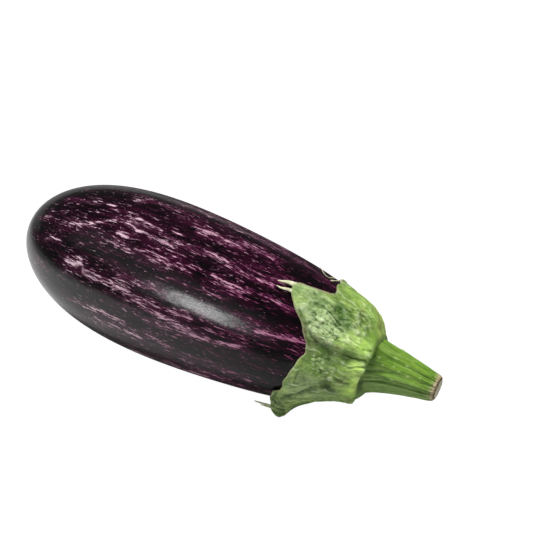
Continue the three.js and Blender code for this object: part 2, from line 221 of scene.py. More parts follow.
def off_path(angle, reach, path):
    """Distance to the nearest of a path's segments, and how far to the left of it."""
    nearest, left = off_segment(angle, reach, path[0], path[1])
    for start, end in zip(path[1:], path[2:]):
        distance, side = off_segment(angle, reach, start, end)
        left = np.where(distance < nearest, side, left)
        nearest = np.minimum(distance, nearest)
    return nearest, left


def off_place(angle, reach, place):
    return off_segment(angle, reach, place, (place[0], place[1] + 0.01))[0]


def spots(angle, reach, rows, join=np.maximum):
    """Round forms, each of an angle, reach, spread and height: the highest of them, or their sum."""
    total = np.zeros_like(reach)
    for *place, spread, tall in rows:
        total = join(total, tall * bell(off_place(angle, reach, place) / spread))
    return total


def strokes(angle, reach, rows, join=np.maximum):
    """Long forms, each of a half width, height and path: the highest of them, or their sum."""
    total = np.zeros_like(reach)
    for half_width, tall, *path in rows:
        total = join(total, tall * bell(off_path(angle, reach, path)[0] / half_width))
    return total


def relief(angle, reach):
    height = strokes(angle, reach, RIDGES, np.add) + spots(angle, reach, BUMPS, np.add)
    for path, gentle, steep, tall in FOLDS:
        nearest, left = off_path(angle, reach, path)
        height += tall * np.where(left < 0, bell(nearest / gentle), bell(nearest / steep))
    return height


def blade_height(angle, share):
    """How far the calyx's inner face stands off the fruit."""
    reach = share * margin_reach(angle)
    lift = FLUTTER_HEIGHT / 2 * (1 + np.sin(np.radians(FLUTTER_TURNS * angle) + FLUTTER_PHASE))
    for direction, spread, tall in LIFTS:
        lift = lift + tall * near_angle(angle, direction, spread)
    arch = ARCH_HEIGHT * bell(off_place(angle, reach, ARCH_PLACE) / ARCH_SPREAD)
    return GAP + smooth(share, LIFT_START, 1) ** 1.5 * lift + arch


def calyx_thickness(angle, share):
    reach = share * margin_reach(angle)
    inland = CALYX_POLE_THICKNESS + SHOULDER_THICKNESS * bell((reach - SHOULDER_REACH) / SHOULDER_SPREAD)
    thickness = mix(inland, CALYX_MARGIN_THICKNESS, smooth(share, CALYX_THINS_FROM, 1))
    fade = 1 - RELIEF_FADE * smooth(share, RELIEF_FADE_SHARE, 1)
    shape = relief(angle, reach) * smooth(reach, RELIEF_FROM, RELIEF_FULL) * fade
    return np.maximum(thickness + shape, CALYX_LEAST_THICKNESS)


def off_groove(angle):
    return np.min([np.abs(turn_between(angle, groove)) for groove in STEM_GROOVES], axis=0)


def stem_radius(angle, along):
    near = FLARE_NEAR * near_angle(angle, FLARE_ANGLE, FLARE_SPREAD)
    flare = (STEM_FLARE + near) * (1 - along) ** FLARE_POWER
    plain = mix(STEM_BASE_RADIUS, STEM_END_RADIUS, along) + flare
    groove = bell(off_groove(angle) / GROOVE_HALF_WIDTH)
    return plain - mix(GROOVE_BASE_DEPTH, GROOVE_END_DEPTH, along) * groove


def painted(colour, layers):
    """A colour with layers over it, each of a share from 0 to 1 and a colour."""
    tone = np.array(colour)
    for share, layer in layers:
        tone = mix(tone, np.array(layer), np.clip(share, 0, 1)[..., None])
    return tone


def stem_points(x, radius, angle, along):
    offset = mix(STEM_SWAY_END, STEM_SWAY_BASE, (1 - along) ** 4)
    sway = around(np.zeros_like(offset), offset, STEM_SWAY_ANGLE)
    return around(x, radius, angle) + sway


# ---- from the fruit's frame to the part's


def belly_drop():
    t = np.linspace(0, math.pi, 2001)
    x, radius = profile(t)
    z = -radius - departure(x, 180) * np.sin(t)
    return np.min(-(x - BELLY_X) * math.sin(PITCH) + z * math.cos(PITCH)) + FLAT_DEPTH


def pitched(points):
    x, y, z = points[..., 0] - BELLY_X, points[..., 1], points[..., 2]
    c, s = math.cos(PITCH), math.sin(PITCH)
    return np.stack([c * x + s * z, y, c * z - s * x - belly_drop()], -1)


def part_offset():
    """Where the belly's axis point lies in the part's frame, from the box of the CAD fruit."""
    t, angle = np.meshgrid(np.linspace(0, math.pi, 300), np.linspace(0, 360, 361))
    points = pitched(fruit_points(t, angle)).reshape(-1, 3)
    low, high = (np.array(corner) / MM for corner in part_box("fruit"))
    own_low, own_high = points.min(0), points.max(0)
    return np.array([low[0] - own_low[0], (low[1] + high[1] - own_low[1] - own_high[1]) / 2, 0])


OFFSET = part_offset()


def in_part(points):
    """Points of the fruit's frame, in millimetres, as points of the part's frame, in metres."""
    placed = pitched(points) + OFFSET
    placed[..., 2] = np.maximum(placed[..., 2], 0)
    return placed * MM


# ---- fine relief


def lattice_value(cells, seed):
    """A repeatable random number from 0 to 1 for each whole-numbered cell."""
    mixed = cells.astype(np.int64) @ np.array([73856093, 19349663, 83492791]) + seed * 2654435761
    mixed = (mixed ^ (mixed >> 13)) * 1274126177 & 0x7FFFFFFF
    mixed = (mixed ^ (mixed >> 11)) * 668265263 & 0x7FFFFFFF
    return (mixed ^ (mixed >> 15)) % 100003 / 100003


def noise(points, seed):
    """Smooth noise from -1 to 1 over points whose unit is one cell."""
    cell = np.floor(points)
    part = points - cell
    part = part**3 * (part * (part * 6 - 15) + 10)
    total = 0
    for corner in np.ndindex(2, 2, 2):
        weight = np.prod(np.where(np.array(corner) == 1, part, 1 - part), axis=-1)
        total = total + weight * lattice_value(cell + corner, seed)
    return 2 * total - 1


def rough(points, seed, octaves=4, gain=0.5):
    total, amount = 0, 1
    for i in range(octaves):
        total = total + amount * noise(points * 2**i, seed + i)
        amount *= gain
    return total


# ---- meshes


SEAM_ROOM = 0.98  # share of the bake map that one turn round a piece takes


def bake_map(mesh, across, round_share):
    """Bake coordinates for each face corner, from each point's place across the map and round the
    piece. Faces over the seam run on past 1, and a pole, whose share is NaN, takes its face's mean."""
    corners = np.zeros(len(mesh.loops), np.int32)
    mesh.loops.foreach_get("vertex_index", corners)
    sizes = np.zeros(len(mesh.polygons), np.int32)
    mesh.polygons.foreach_get("loop_total", sizes)
    face = np.repeat(np.arange(len(sizes)), sizes)
    u, v = across[corners], round_share[corners]
    known = ~np.isnan(v)
    low, high = np.full(len(sizes), 9.0), np.full(len(sizes), -9.0)
    np.minimum.at(low, face[known], v[known])
    np.maximum.at(high, face[known], v[known])
    wraps = high - low > 0.5
    v = np.where(wraps[face] & (v < 0.5), v + 1, v)
    total = np.bincount(face[known], v[known], len(sizes))
    mean = total / np.bincount(face[known], minlength=len(sizes))
    return np.stack([u, np.where(known, v, mean[face]) * SEAM_ROOM], -1)


def new_piece(name, points, faces, attributes, across, round_share):
    """A mesh piece that rides on the part, from points in the part's frame."""
    mesh = bpy.data.meshes.new(name)
    mesh.from_pydata(points.tolist(), [], faces)
    mesh.polygons.foreach_set("use_smooth", np.ones(len(mesh.polygons), bool))
    for key, values in attributes.items():
        kind, field = ("FLOAT_VECTOR", "vector") if values.ndim == 2 else ("FLOAT", "value")
        mesh.attributes.new(key, kind, "POINT").data.foreach_set(field, values.astype(np.float32).ravel())
    layer = mesh.uv_layers.new(name="OFBake")
    layer.uv.foreach_set("vector", bake_map(mesh, across, round_share).astype(np.float32).ravel())
    mesh.update()
    piece = bpy.data.objects.new(name, mesh)
    bpy.context.scene.collection.objects.link(piece)
    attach(piece, "root")
    return piece


def quads(rings, columns, first=0):
    """Faces between rings of equal length, whose points are numbered from the first one on."""
    faces = []
    for start in range(first, first + (rings - 1) * columns, columns):
        for j in range(columns):
            here, beside = start + j, start + (j + 1) % columns
            faces.append((here, here + columns, beside + columns, beside))
    return faces


def ring_faces(rings, columns):
    """Faces of a closed surface: a pole, rings of equal length, and a pole."""
    last = rings * columns + 1
    first_fan = [(0, 1 + j, 1 + (j + 1) % columns) for j in range(columns)]
    last_fan = [(last, last - columns + (j + 1) % columns, last - columns + j) for j in range(columns)]
    return first_fan + quads(rings, columns, 1) + last_fan


def ring_grid(rows, columns):
    """Each ring's value and each column's direction in degrees, at every point of the rings."""
    return np.meshgrid(rows, 360 * np.arange(columns) / columns, indexing="ij")


def closed(rings, first=None, last=None):
    """Values over rings of points as one list, with the poles' values at its ends: those given, or
    the nearest ring's."""
    first = rings[0, :1] if first is None else first
    last = rings[-1, :1] if last is None else last
    return np.concatenate([first, rings.reshape((-1,) + rings.shape[2:]), last])


def ring_map(rings_across, columns):
    """Places across the bake map and shares round the piece for the points of such a surface."""
    across, angle = ring_grid(rings_across, columns)
    return closed(across, [0], [1]), closed(angle / 360, [np.nan], [np.nan])


def outward(points, faces):
    """Faces turned so that the closed surface they make has its outside out."""
    corners = (points[list(face[:3])] for face in faces)
    volume = sum(float(np.dot(a, np.cross(b, c))) for a, b, c in corners)
    return faces if volume > 0 else [tuple(reversed(face)) for face in faces]


# ---- the fruit

FRUIT_COLUMNS, FRUIT_RINGS = 300, 260
SKIN_RADIUS = 38  # the markings are laid out as if the skin were a tube of this radius
# Streaks of the skin where the pale dashes crowd: half width in millimetres, strength, and a path
# of (distance along the surface from the blossom end, direction) places.
STREAKS = (
    (1, 1, (50, 31), (61, 27), (67, 23), (73, 18), (81, 17)),
    (1, 0.95, (81, 17), (85, 20), (94, 20), (104, 20)), (1.1, 1, (82, 10), (88, 11), (95, 12)),
    (1, 0.9, (96, 16), (104, 16), (111, 16)),
    (2.3, 0.66, (104, 17), (116, 14), (128, 15), (144, 17), (154, 17)),
    (0.9, 0.65, (52, 8), (60, 6), (68, 5)), (0.8, 0.65, (66, 9), (79, 7), (84, 9)),
    (1.6, 1, (77, 27), (82, 26)), (1, 0.8, (71, 34), (80, 35), (88, 35)), (0.8, 0.6, (88, 32), (99, 31)),
    (1, 0.8, (96, 34), (104, 33), (114, 32)), (1.8, 1, (57, 60), (62, 60), (65, 56)),
    (1.6, 0.85, (63, 62), (73, 59)), (1.8, 0.55, (74, -7), (85, -13), (96, -11), (103, -12)),
    (0.5, 0.8, (99, 8), (107, 9)), (1.5, 1, (112, -2), (120, -4), (131, -3)),
    (0.8, 0.7, (121, 2), (128, 2)), (1.3, 0.75, (130, -11), (138, -11), (147, -9)),
    (0.9, 0.8, (92, 31), (104, 31), (115, 32)), (0.5, 0.8, (119, 28), (127, 28)),
    (1.6, 0.95, (128, 29), (137, 30), (147, 29)), (1, 0.85, (138, 33), (147, 31)),
    (1.2, 0.72, (151, 27), (160, 27), (168, 26)), (0.9, 0.5, (109, 42), (122, 42), (139, 41)),
    (1.6, 0.95, (96, 64), (110, 64), (125, 64)), (1, 0.8, (104, 70), (110, 70)),
    (1.8, 1, (115, 72), (125, 71)), (1, 0.6, (129, 67), (142, 65)), (1.2, 0.6, (145, 55), (152, 58)),
    (2.2, 0.88, (57, 61), (76, 61), (89, 60), (100, 67), (111, 72), (121, 74), (136, 75), (150, 71)),
    (1.2, 0.75, (60, 92), (66, 89), (72, 89)), (2.6, 0.72, (73, 89), (80, 88), (92, 88)),
    (1.7, 0.8, (77, 96), (88, 95), (100, 95)), (1.3, 0.85, (105, 90), (112, 91), (118, 93)),
    (0.8, 0.55, (33, 84), (41, 77)), (0.8, 0.45, (30, 102), (45, 94)),
    (3, 0.5, (86, 55), (98, 53), (110, 52)), (1, 0.5, (123, 95), (141, 94), (157, 104)),
    (1, 0.5, (114, 112), (132, 109), (151, 112)), (1.2, 0.42, (97, 100), (107, 105)),
    (1.2, 0.42, (115, 102), (132, 105), (150, 112)), (1.7, 0.9, (156, 55), (168, 50), (182, 47)),
    (1, 0.8, (172, 54), (182, 54)), (0.7, 0.6, (33, 74), (43, 75)), (0.8, 0.7, (41, 49), (51, 47)),
    (0.6, 0.55, (34, 30), (46, 28)), (0.8, 0.6, (39, 6), (50, 8)),
    (1.4, 0.4, (150, -2), (166, 2), (180, 4)), (1.2, 0.45, (152, 12), (166, 13), (182, 12)),
)
# The side away from these has streaks of the same kind, placed by rule within these ranges.
FAR_STREAKS = 46
FAR_DIRECTION, FAR_TURN = (112, 342), (-5, 5)
FAR_START, FAR_LENGTH = (40, 130), (12, 58)
FAR_HALF_WIDTH, FAR_STRENGTH = (0.7, 2.1), (0.5, 1.0)
WANDER, WANDER_CELLS = 1.3, (14, 7, 7)  # how far streaks stray, in degrees, and over what lengths
HAZE_SPREAD, HAZE_MARGIN = 3, 1.5  # how far faint dashes reach beyond a streak


def far_streaks():
    """Streaks over the far side: evenly spread directions, with drawn lengths, widths and turns."""
    for i in range(FAR_STREAKS):
        draws = [lattice_value(np.array([[i, k, 7]]), 3)[0] for k in range(5)]
        direction = mix(*FAR_DIRECTION, (i + draws[0]) / FAR_STREAKS)
        start = mix(*FAR_START, draws[1])
        end = start + mix(*FAR_LENGTH, draws[2] ** 1.5)
        turn = mix(*FAR_TURN, draws[4])
        path = ((start, direction), ((start + end) / 2, direction + turn), (end, direction + turn / 2))
        yield mix(*FAR_HALF_WIDTH, draws[3]), mix(*FAR_STRENGTH, draws[4]), *path


def off_streak(along, angle, path):
    """Distance in millimetres over the skin to a streak's path."""
    nearest = np.full(len(along), 1e3)
    for (s0, a0), (s1, a1) in zip(path, path[1:]):
        run, turn = s1 - s0, math.radians(a1 - a0) * SKIN_RADIUS
        x, y = along - s0, np.radians(turn_between(angle, a0)) * SKIN_RADIUS
        share = np.clip((x * run + y * turn) / (run * run + turn * turn), 0, 1)
        nearest = np.minimum(nearest, np.hypot(x - share * run, y - share * turn))
    return nearest


def build_fruit():
    t = np.pi * np.arange(1, FRUIT_RINGS) / FRUIT_RINGS
    grid_t, grid_angle = ring_grid(t, FRUIT_COLUMNS)
    all_t, all_angle = closed(grid_t, [0.0], [np.pi]), closed(grid_angle, [0.0], [0.0])
    points = fruit_points(all_t, all_angle)
    along = PROFILE_REACH[-1] - np.interp(all_t, PROFILE_T[::-1], PROFILE_REACH[::-1])
    lines = laid_out(along, SKIN_RADIUS, all_angle)
    wander = all_angle + WANDER * noise(lines / WANDER_CELLS, 5)
    streak, haze = np.zeros((2, len(points)))
    for half_width, strength, *path in (*STREAKS, *far_streaks()):
        distance = off_streak(along, wander, path)
        streak = np.maximum(streak, strength * bell(distance / half_width))
        haze = np.maximum(haze, strength * bell(distance / (HAZE_SPREAD * half_width + HAZE_MARGIN)))
    faces = outward(points, ring_faces(FRUIT_RINGS - 1, FRUIT_COLUMNS))
    attributes = {"lines": lines, "streak": streak, "haze": haze}
    return new_piece("fruit_skin", in_part(points), faces, attributes, *ring_map(t / np.pi, FRUIT_COLUMNS))


# ---- the calyx

CALYX_COLUMNS, CALYX_OUTER_ROWS, CALYX_INNER_ROWS = 580, 148, 10
CALYX_TUBE = 30  # radius of the tube that the calyx's patterns are laid round
MARGIN_BEVEL, BEVEL_LEAST, OUTER_LEAST = 0.9, 0.2, 0.12
UPPER_ANGLE, UPPER_SPREAD, UPPER_FROM, UPPER_TO = 0, 7, 2.0, 4.5  # the dry band at the upper edge
# The dark band at the front edge is painted shade.
RIM_ANGLE, RIM_SPREAD, RIM_FROM, RIM_TO = 40, 13, 1.6, 2.8  # the dark band at the front edge

# Where the surface is finely wrinkled: angle, reach, spread and strength.
WRINKLED = (
    (27, 42, 8, 1), (31, 35, 6, 1), (14, 35, 7, 0.8), (14, 50, 9, 0.5), (35, 27, 4, 0.6), (12, 27, 6, 0.5),
    (64, 33, 6, 0.6), (96, 34, 7, 0.3), (-24, 33, 9, 0.25), (2, 29, 8, 0.8), (50, 24, 5, 0.35),
    (72, 24, 5, 0.4), (84, 30, 4, 0.35), (250, 44, 14, 0.8), (186, 38, 12, 0.6), (290, 30, 10, 0.4),
)
GREEN = (0.17, 0.29, 0.065)
# Colours over the green, each with the spots where it lies: angle, reach, spread and strength.
TINTS = (
    ((0.31, 0.45, 0.105), (-20, 33, 12, 0.9), (300, 28, 14, 0.8), (230, 24, 10, 0.7)),
    ((0.2, 0.33, 0.06), (4, 30, 7, 0.9), (16, 25, 6, 0.8)),
    ((0.52, 0.67, 0.33), (27, 42, 8, 1), (31, 35, 5.5, 1), (250, 46, 11, 0.8), (186, 38, 9, 0.6)),
    ((0.31, 0.42, 0.18), (14, 52, 8, 0.9), (8, 58, 6, 0.8), (20, 47, 5, 0.5)),
    # Partly painted highlight: pale bright green along the crest of the pad's fold and by the shoulder.
    ((0.66, 0.92, 0.27), (34, 27, 4.5, 1), (37, 30, 3.5, 1), (66, 21, 4, 1), (51, 20.5, 3.5, 0.8)),
    ((0.33, 0.54, 0.12), (-34, 36, 5, 0.7), (-16, 22, 6, 0.9), (78, 21, 4.5, 0.9), (24, 20, 5, 0.8)),
    ((0.3, 0.53, 0.07), (14, 16, 5, 0.9), (-12, 16, 5, 0.8), (32, 17, 3, 0.7), (96, 21, 3, 0.6)),
    ((0.6, 0.9, 0.16), (59, 20.5, 3.5, 0.9), (72, 18.5, 4, 1), (84, 19.8, 3.5, 0.9), (30, 22, 3, 0.6)),
    ((0.6, 0.78, 0.15), (-52, 30, 7, 0.8), (-54, 24, 6, 0.9), (-34, 19, 5, 0.8), (-14, 16.5, 3, 0.7)),
    ((0.28, 0.41, 0.135), (84, 41, 7, 1), (98, 38, 7, 1), (110, 46, 8, 1), (200, 44, 9, 0.8)),
    ((0.36, 0.46, 0.22), (84, 43, 3, 0.8), (83.5, 39, 3, 0.8), (81.5, 35, 2.6, 0.6), (66, 24, 2.2, 0.5)),
    ((0.44, 0.58, 0.22), (102, 46, 2.2, 0.7), (99.5, 41, 2.2, 0.7), (101, 36.5, 2.2, 0.7),
     (105, 31, 2.2, 0.5)),
    ((0.24, 0.34, 0.14), (104, 41, 3, 0.8), (110, 34, 5, 0.7), (104, 26, 5, 0.5), (90, 43, 4, 0.4)),
    ((0.27, 0.49, 0.06), (62, 34, 6, 1), (56, 28, 4, 0.7), (70, 28, 4, 0.8)),
    ((0.065, 0.15, 0.03), (8, 37, 3.2, 1), (14, 34, 3, 1), (19, 30.5, 2.4, 0.7), (92, 35, 2.5, 0.4)),
    ((0.14, 0.25, 0.042), (50, 33, 4.5, 1), (48, 27, 4, 1), (57, 28, 4, 0.8), (126, 26, 5, 0.5)),
    ((0.1, 0.12, 0.042), (38, 46.5, 2, 0.9), (44, 41, 3, 1), (51, 40.5, 2.6, 0.9), (43, 36, 1.8, 0.7)),
    ((0.16, 0.17, 0.05), (43, 31, 1.6, 0.9), (75, 25, 2.4, 0.8), (104, 21, 1.8, 0.8), (76, 30, 2, 0.6)),
    ((0.14, 0.11, 0.035), (-53, 28, 1.6, 0.6), (-2, 27.3, 1.2, 0.9), (-10, 28.5, 1.4, 0.7),
     (-22, 20, 2, 0.4), (214, 41, 4, 0.5)),
    # Painted shade: near-black green in a dent and in the recess by the stem.
    ((0.028, 0.06, 0.01), (85, 30, 2.4, 1), (88, 28, 1.7, 0.7), (86, 14, 4, 0.6), (76, 15.5, 2.5, 0.6)),
    ((0.26, 0.34, 0.12), (126, 53, 6, 0.9), (134, 50, 5, 0.8), (122, 47, 4, 0.5)),
)
# Spots in deep shade colour, over all the others.
SHADED = (
    (8, 37, 3, 0.55), (14, 34, 2.8, 0.6), (19, 30.5, 2.2, 0.45), (85, 30, 2.6, 0.85),
    (88.5, 27.5, 1.7, 0.6), (50, 33, 3.6, 0.35), (48, 27, 3.6, 0.35), (84, 15, 3, 0.6), (100, 15, 3, 0.5),
    (11, 34.6, 1.5, 0.4), (4, 34.8, 1.3, 0.4), (-1, 33, 1.2, 0.35), (-4, 27, 1.2, 0.5), (-2, 25, 1.1, 0.5),
    (6, 31, 1.2, 0.4), (12, 30.5, 1.2, 0.4), (38, 25, 1.1, 0.5), (43, 44, 2.5, 0.25), (5, 27, 1.2, 0.3),
)
# Painted shade colour: the crevices, creases, hollows and shaded spots are darkened with it.
DEEP_SHADE = (0.03, 0.075, 0.013)
# Pale colour of the fibres, and painted sheen on the tops of the wrinkles, the beads and the knobs.
PALE_AND_SHEEN = (0.61, 0.72, 0.41)
LIGHT_MOTTLE, DARK_MOTTLE = (0.44, 0.60, 0.11), (0.10, 0.20, 0.03)
DARK_FIBRE = (0.11, 0.20, 0.04)
DRY_EDGE, BROWN_EDGE = (0.31, 0.25, 0.17), (0.32, 0.31, 0.18)
EDGE_SHADE = (0.075, 0.07, 0.026)
STRAW = (0.56, 0.56, 0.37)
# Painted light: the threads at the lowest tip hang in shade, so their straw is painted paler than the rest.
PAINTED_LIGHT_STRAW = (0.78, 0.84, 0.52)  # of the threads at the lowest tip
LIT_THREADS_FROM, LIT_THREADS_TO = 120, 140
BEAD_SPREAD = 0.9
# Beads: angle, reach and size.
BEADS = (
    (60, 38, 1.1), (62.5, 36.3, 0.8), (58, 35.8, 1), (64, 35, 0.9), (66, 33.4, 1), (61, 33.6, 1.1),
    (68, 31.6, 1.2), (56.5, 38.5, 0.8), (65, 37.4, 0.8), (70, 34.6, 0.8), (64, 30.4, 0.8), (72, 32.4, 0.7),
    (59, 31, 0.8), (67, 28.6, 0.9), (74, 29.6, 0.8), (4, 29, 1.2), (9, 27.5, 1.3), (15, 28.5, 1.1),
    (20, 26, 1.3), (-3, 29.5, 1.1), (8, 24, 1.1), (25, 24, 1), (0, 23, 1), (16, 23, 1.1), (-8, 26, 0.9),
    (47, 30.3, 0.8), (54, 26, 0.9),
)
# Sharp creases: half width, depth and path.
CREASES = (
    (0.7, 1.3, (131, 50), (124, 60)), (0.7, 1.3, (128, 50), (118, 58)), (0.7, 1.3, (134, 51), (131, 60)),
    (0.7, 1.2, (124, 50), (113, 55)), (0.4, 0.6, (57, 23.5), (53, 20.5), (51, 18)),
    (0.4, 0.6, (46, 23.5), (43.5, 20), (42, 17.5)), (0.4, 0.5, (33, 21), (30, 18)),
    (0.6, 0.45, (44, 34), (51.4, 32.4), (59, 30.6)), (0.45, 0.7, (18, 41), (24, 35), (26, 31)),
    (0.4, 0.6, (14, 44), (17, 38), (22, 33)), (0.4, 0.5, (26, 46), (31, 40), (33, 36)),
    (0.45, 0.7, (8, 50), (9, 42), (11, 38)), (0.5, 0.6, (-3, 41), (2, 35), (4, 31)),
    (0.5, 0.7, (73, 27), (76, 23.5), (75, 21.5)), (0.5, 0.8, (26, 52.6), (32, 48.4), (37, 45.7)),
    (0.5, 0.7, (37, 45.7), (42, 42.5), (44, 38), (43, 35)), (0.4, 0.6, (77, 43.5), (88, 44.5)),
    (0.7, 0.9, (93, 36.5), (104, 43), (114, 50)), (0.6, 0.7, (126, 24), (119, 21.5)),
    (0.6, 0.8, (104, 52), (112, 53.5), (119, 50)), (0.6, 0.7, (108, 48), (115, 49), (121, 45)),
    (0.6, 0.5, (101, 46), (110, 43.5), (118, 41)),
)
# Knobs where the ribs of the stem meet the calyx: angle, reach, spread and height.
KNOBS = (
    (36, 18.9, 1.3, 1.1), (47, 18.8, 1.3, 1), (55, 18, 1.3, 1), (66, 18.6, 1.6, 0.7), (41, 21.5, 1, 0.4),
    (25, 18.5, 1.6, 0.5),
)
# The stem's upper side flows out of the calyx in a collar.
COLLAR_ANGLE, COLLAR_SPREAD, COLLAR_REACH, COLLAR_WIDTH, COLLAR_HEIGHT = 24, 34, 14.4, 3.0, 1.5
# Dry threads: radius at the root and at the point, and a path of (angle, reach, height) places.
THREADS = (
    (1.7, 0.2, (7.6, 58.5, 2), (8.6, 63.2, 1.9), (9.9, 65.6, 1.6), (11, 67.8, 1.4)),
    (1.15, 0.2, (14, 58, 2), (14.1, 61.3, 1.8), (15.1, 63.9, 1.4), (15.4, 65.6, 1.2), (15, 67.1, 1.2)),
    (0.95, 0.55, (-45, 45.4, 1.3), (-42, 46.9, 1.6), (-38, 47, 1.3)),
    (0.5, 0.35, (-38, 46.4, 1.5), (-33.4, 46.6, 1.4), (-28.6, 47.3, 1.1), (-23.5, 48.8, 0.8)),
    (0.65, 0.5, (-24.6, 48.4, 0.8), (-22.4, 49.1, 0.8)),
    (0.5, 0.14, (-33.5, 49.5, 0.7), (-26.7, 50.4, 0.8), (-23.9, 51.6, 0.9), (-24.4, 54, 1.4),
     (-26.7, 57, 2.6)),
    (1.3, 0.45, (131, 54, 4.6), (132.9, 58.7, 4.3), (132.7, 61.6, 4.1), (128.5, 64.4, 4)),
    (0.9, 0.3, (130.5, 54, 5.6), (132, 59, 5), (131.5, 61.8, 4.9)),
    (0.7, 0.12, (133.5, 50.5, 7.5), (135, 52.5, 8.6), (136.5, 53.6, 9)),
    (0.9, 0.1, (250, 59, 2.5), (251, 64, 2), (249, 69, 1.5)),
    (0.8, 0.1, (186, 53, 1.4), (187, 57, 1), (185, 60, 0.8)),
)
THREAD_STEPS, THREAD_SIDES, THREAD_FLATNESS, THREAD_TAPER = 16, 8, 0.6, 0.8


def thread_mesh(places, root, point):
    """A tapered closed tube through (angle, reach, height) places, in the fruit's frame."""
    way = np.linspace(0, 1, len(places))
    at = np.linspace(0, 1, THREAD_STEPS)
    angle, reach, height = (np.interp(at, way, column) for column in np.array(places, float).T)
    for _ in range(3):
        for values in (angle, reach, height):
            values[1:-1] = (values[:-2] + 2 * values[1:-1] + values[2:]) / 4
    middle = over_fruit(angle, reach, height)
    tangent = np.gradient(middle, axis=0)
    tangent /= np.linalg.norm(tangent, axis=1, keepdims=True)
    side = np.cross(tangent, around(0.0, 1.0, angle))
    side /= np.linalg.norm(side, axis=1, keepdims=True)
    up = np.cross(side, tangent)
    turn = np.linspace(0, math.tau, THREAD_SIDES, endpoint=False)[:, None]
    ring = np.cos(turn) * side[:, None] + THREAD_FLATNESS * np.sin(turn) * up[:, None]
    radius = mix(root, point, at**THREAD_TAPER)[:, None, None]
    points = closed(middle[:, None] + radius * ring, middle[:1], middle[-1:])
    along, round_it = (closed(np.repeat(v[:, None], THREAD_SIDES, axis=1)) for v in (reach, angle))
    faces = outward(points, ring_faces(THREAD_STEPS, THREAD_SIDES))
    return points, faces, laid_out(along, CALYX_TUBE, round_it)


def calyx_surface(angle, share):
    """Height of the fine relief over the calyx's form, its colour with painted shade and highlights, and the
    distance to the edge.
    """
    reach = share * margin_reach(angle)
    edge = margin_reach(angle) - reach
    lines = laid_out(reach, CALYX_TUBE, angle)
    bent = lines + 0.9 * np.stack([rough(lines / 3.2, seed, 2) for seed in (11, 12, 13)], -1)

    # Patterns: noise with cells of so many millimetres along and round the calyx, then its seed.
    inland = smooth(reach, 15, 22)
    wrinkled = spots(angle, reach, WRINKLED) * inland * smooth(edge, 0.3, 4)
    furrow = bell(noise(bent / (4.2, 1.8, 1.8), 21) / 0.13)
    lump = np.abs(noise(bent / (2.1, 1.35, 1.35), 22)) ** 0.6
    pip = np.abs(noise(bent / (1.3, 0.85, 0.85), 23)) ** 0.6
    blister = 0.58 * lump + 0.42 * pip
    fibre = rough(bent / (9, 1.1, 1.1), 41, 2) * inland * smooth(reach, 12, 34)
    crackle = bell(noise(bent / (3.2, 1.7, 1.7), 25) / 0.09) * inland
    swell = rough(lines / (8, 3.6, 3.6), 31, 3) * inland
    bead = spots(angle, reach, [(*place, BEAD_SPREAD * size, size) for *place, size in BEADS])
    crease = strokes(angle, reach, CREASES)
    knob = spots(angle, reach, KNOBS)
    near_stem = near_angle(angle, COLLAR_ANGLE, COLLAR_SPREAD)
    collar = COLLAR_HEIGHT * near_stem * bell((reach - COLLAR_REACH) / COLLAR_WIDTH)
    wrinkles = wrinkled * (0.85 * (blister - 0.45) - 0.5 * furrow)
    height = wrinkles + 0.14 * fibre + 0.26 * swell - 0.16 * crackle + 0.5 * bead - crease + knob + collar

    blend = 1 + 0.45 * noise(bent / 2.4, 71)
    mottle = noise(bent / (4.5, 2.8, 2.8), 72)
    even = inland * (1 - 0.85 * wrinkled)
    # Painted shade: darker in the wrinkles' crevices and furrows, in the creases and crackle, and in the low
    # parts of the broad swell.
    hollow = 0.8 * wrinkled * (smooth(0.40 - blister, 0, 0.3) + 0.9 * furrow) + 0.75 * crease + 0.3 * crackle
    upper = near_angle(angle, UPPER_ANGLE, UPPER_SPREAD) * smooth(reach, 40, 46)
    upper *= 1 - smooth(edge, UPPER_FROM, UPPER_TO)
    rim = near_angle(angle, RIM_ANGLE, RIM_SPREAD) * (1 - smooth(edge, RIM_FROM, RIM_TO))
    layers = [(spots(angle, reach, places) * blend, colour) for colour, *places in TINTS]
    layers += [
        (0.34 * even * smooth(mottle, 0.05, 0.6), LIGHT_MOTTLE),
        (0.34 * even * smooth(-mottle, 0.05, 0.6), DARK_MOTTLE),
        (0.5 * smooth(fibre, 0.1, 0.9), PALE_AND_SHEEN),
        (0.45 * smooth(-fibre, 0.1, 0.9), DARK_FIBRE),
        # Painted highlight: the pale tops of the wrinkles, the beads and the knobs stand in for the waxy
        # sheen, partly the calyx's own pale bloom.
        (0.95 * wrinkled * smooth(blister, 0.52, 0.85) + 0.5 * bead + 0.4 * knob, PALE_AND_SHEEN),
        (0.85 * hollow + 0.3 * smooth(-swell, 0.3, 1.2), DEEP_SHADE),
        (spots(angle, reach, SHADED) * blend, DEEP_SHADE),
        (0.9 * upper, DRY_EDGE),
        (0.75 * rim, EDGE_SHADE),
        (0.65 * (1 - smooth(edge, 0.15, 0.9)), BROWN_EDGE),
    ]
    return height * smooth(edge, 0, 3) + 0.3 * upper, painted(GREEN, layers), edge, lines


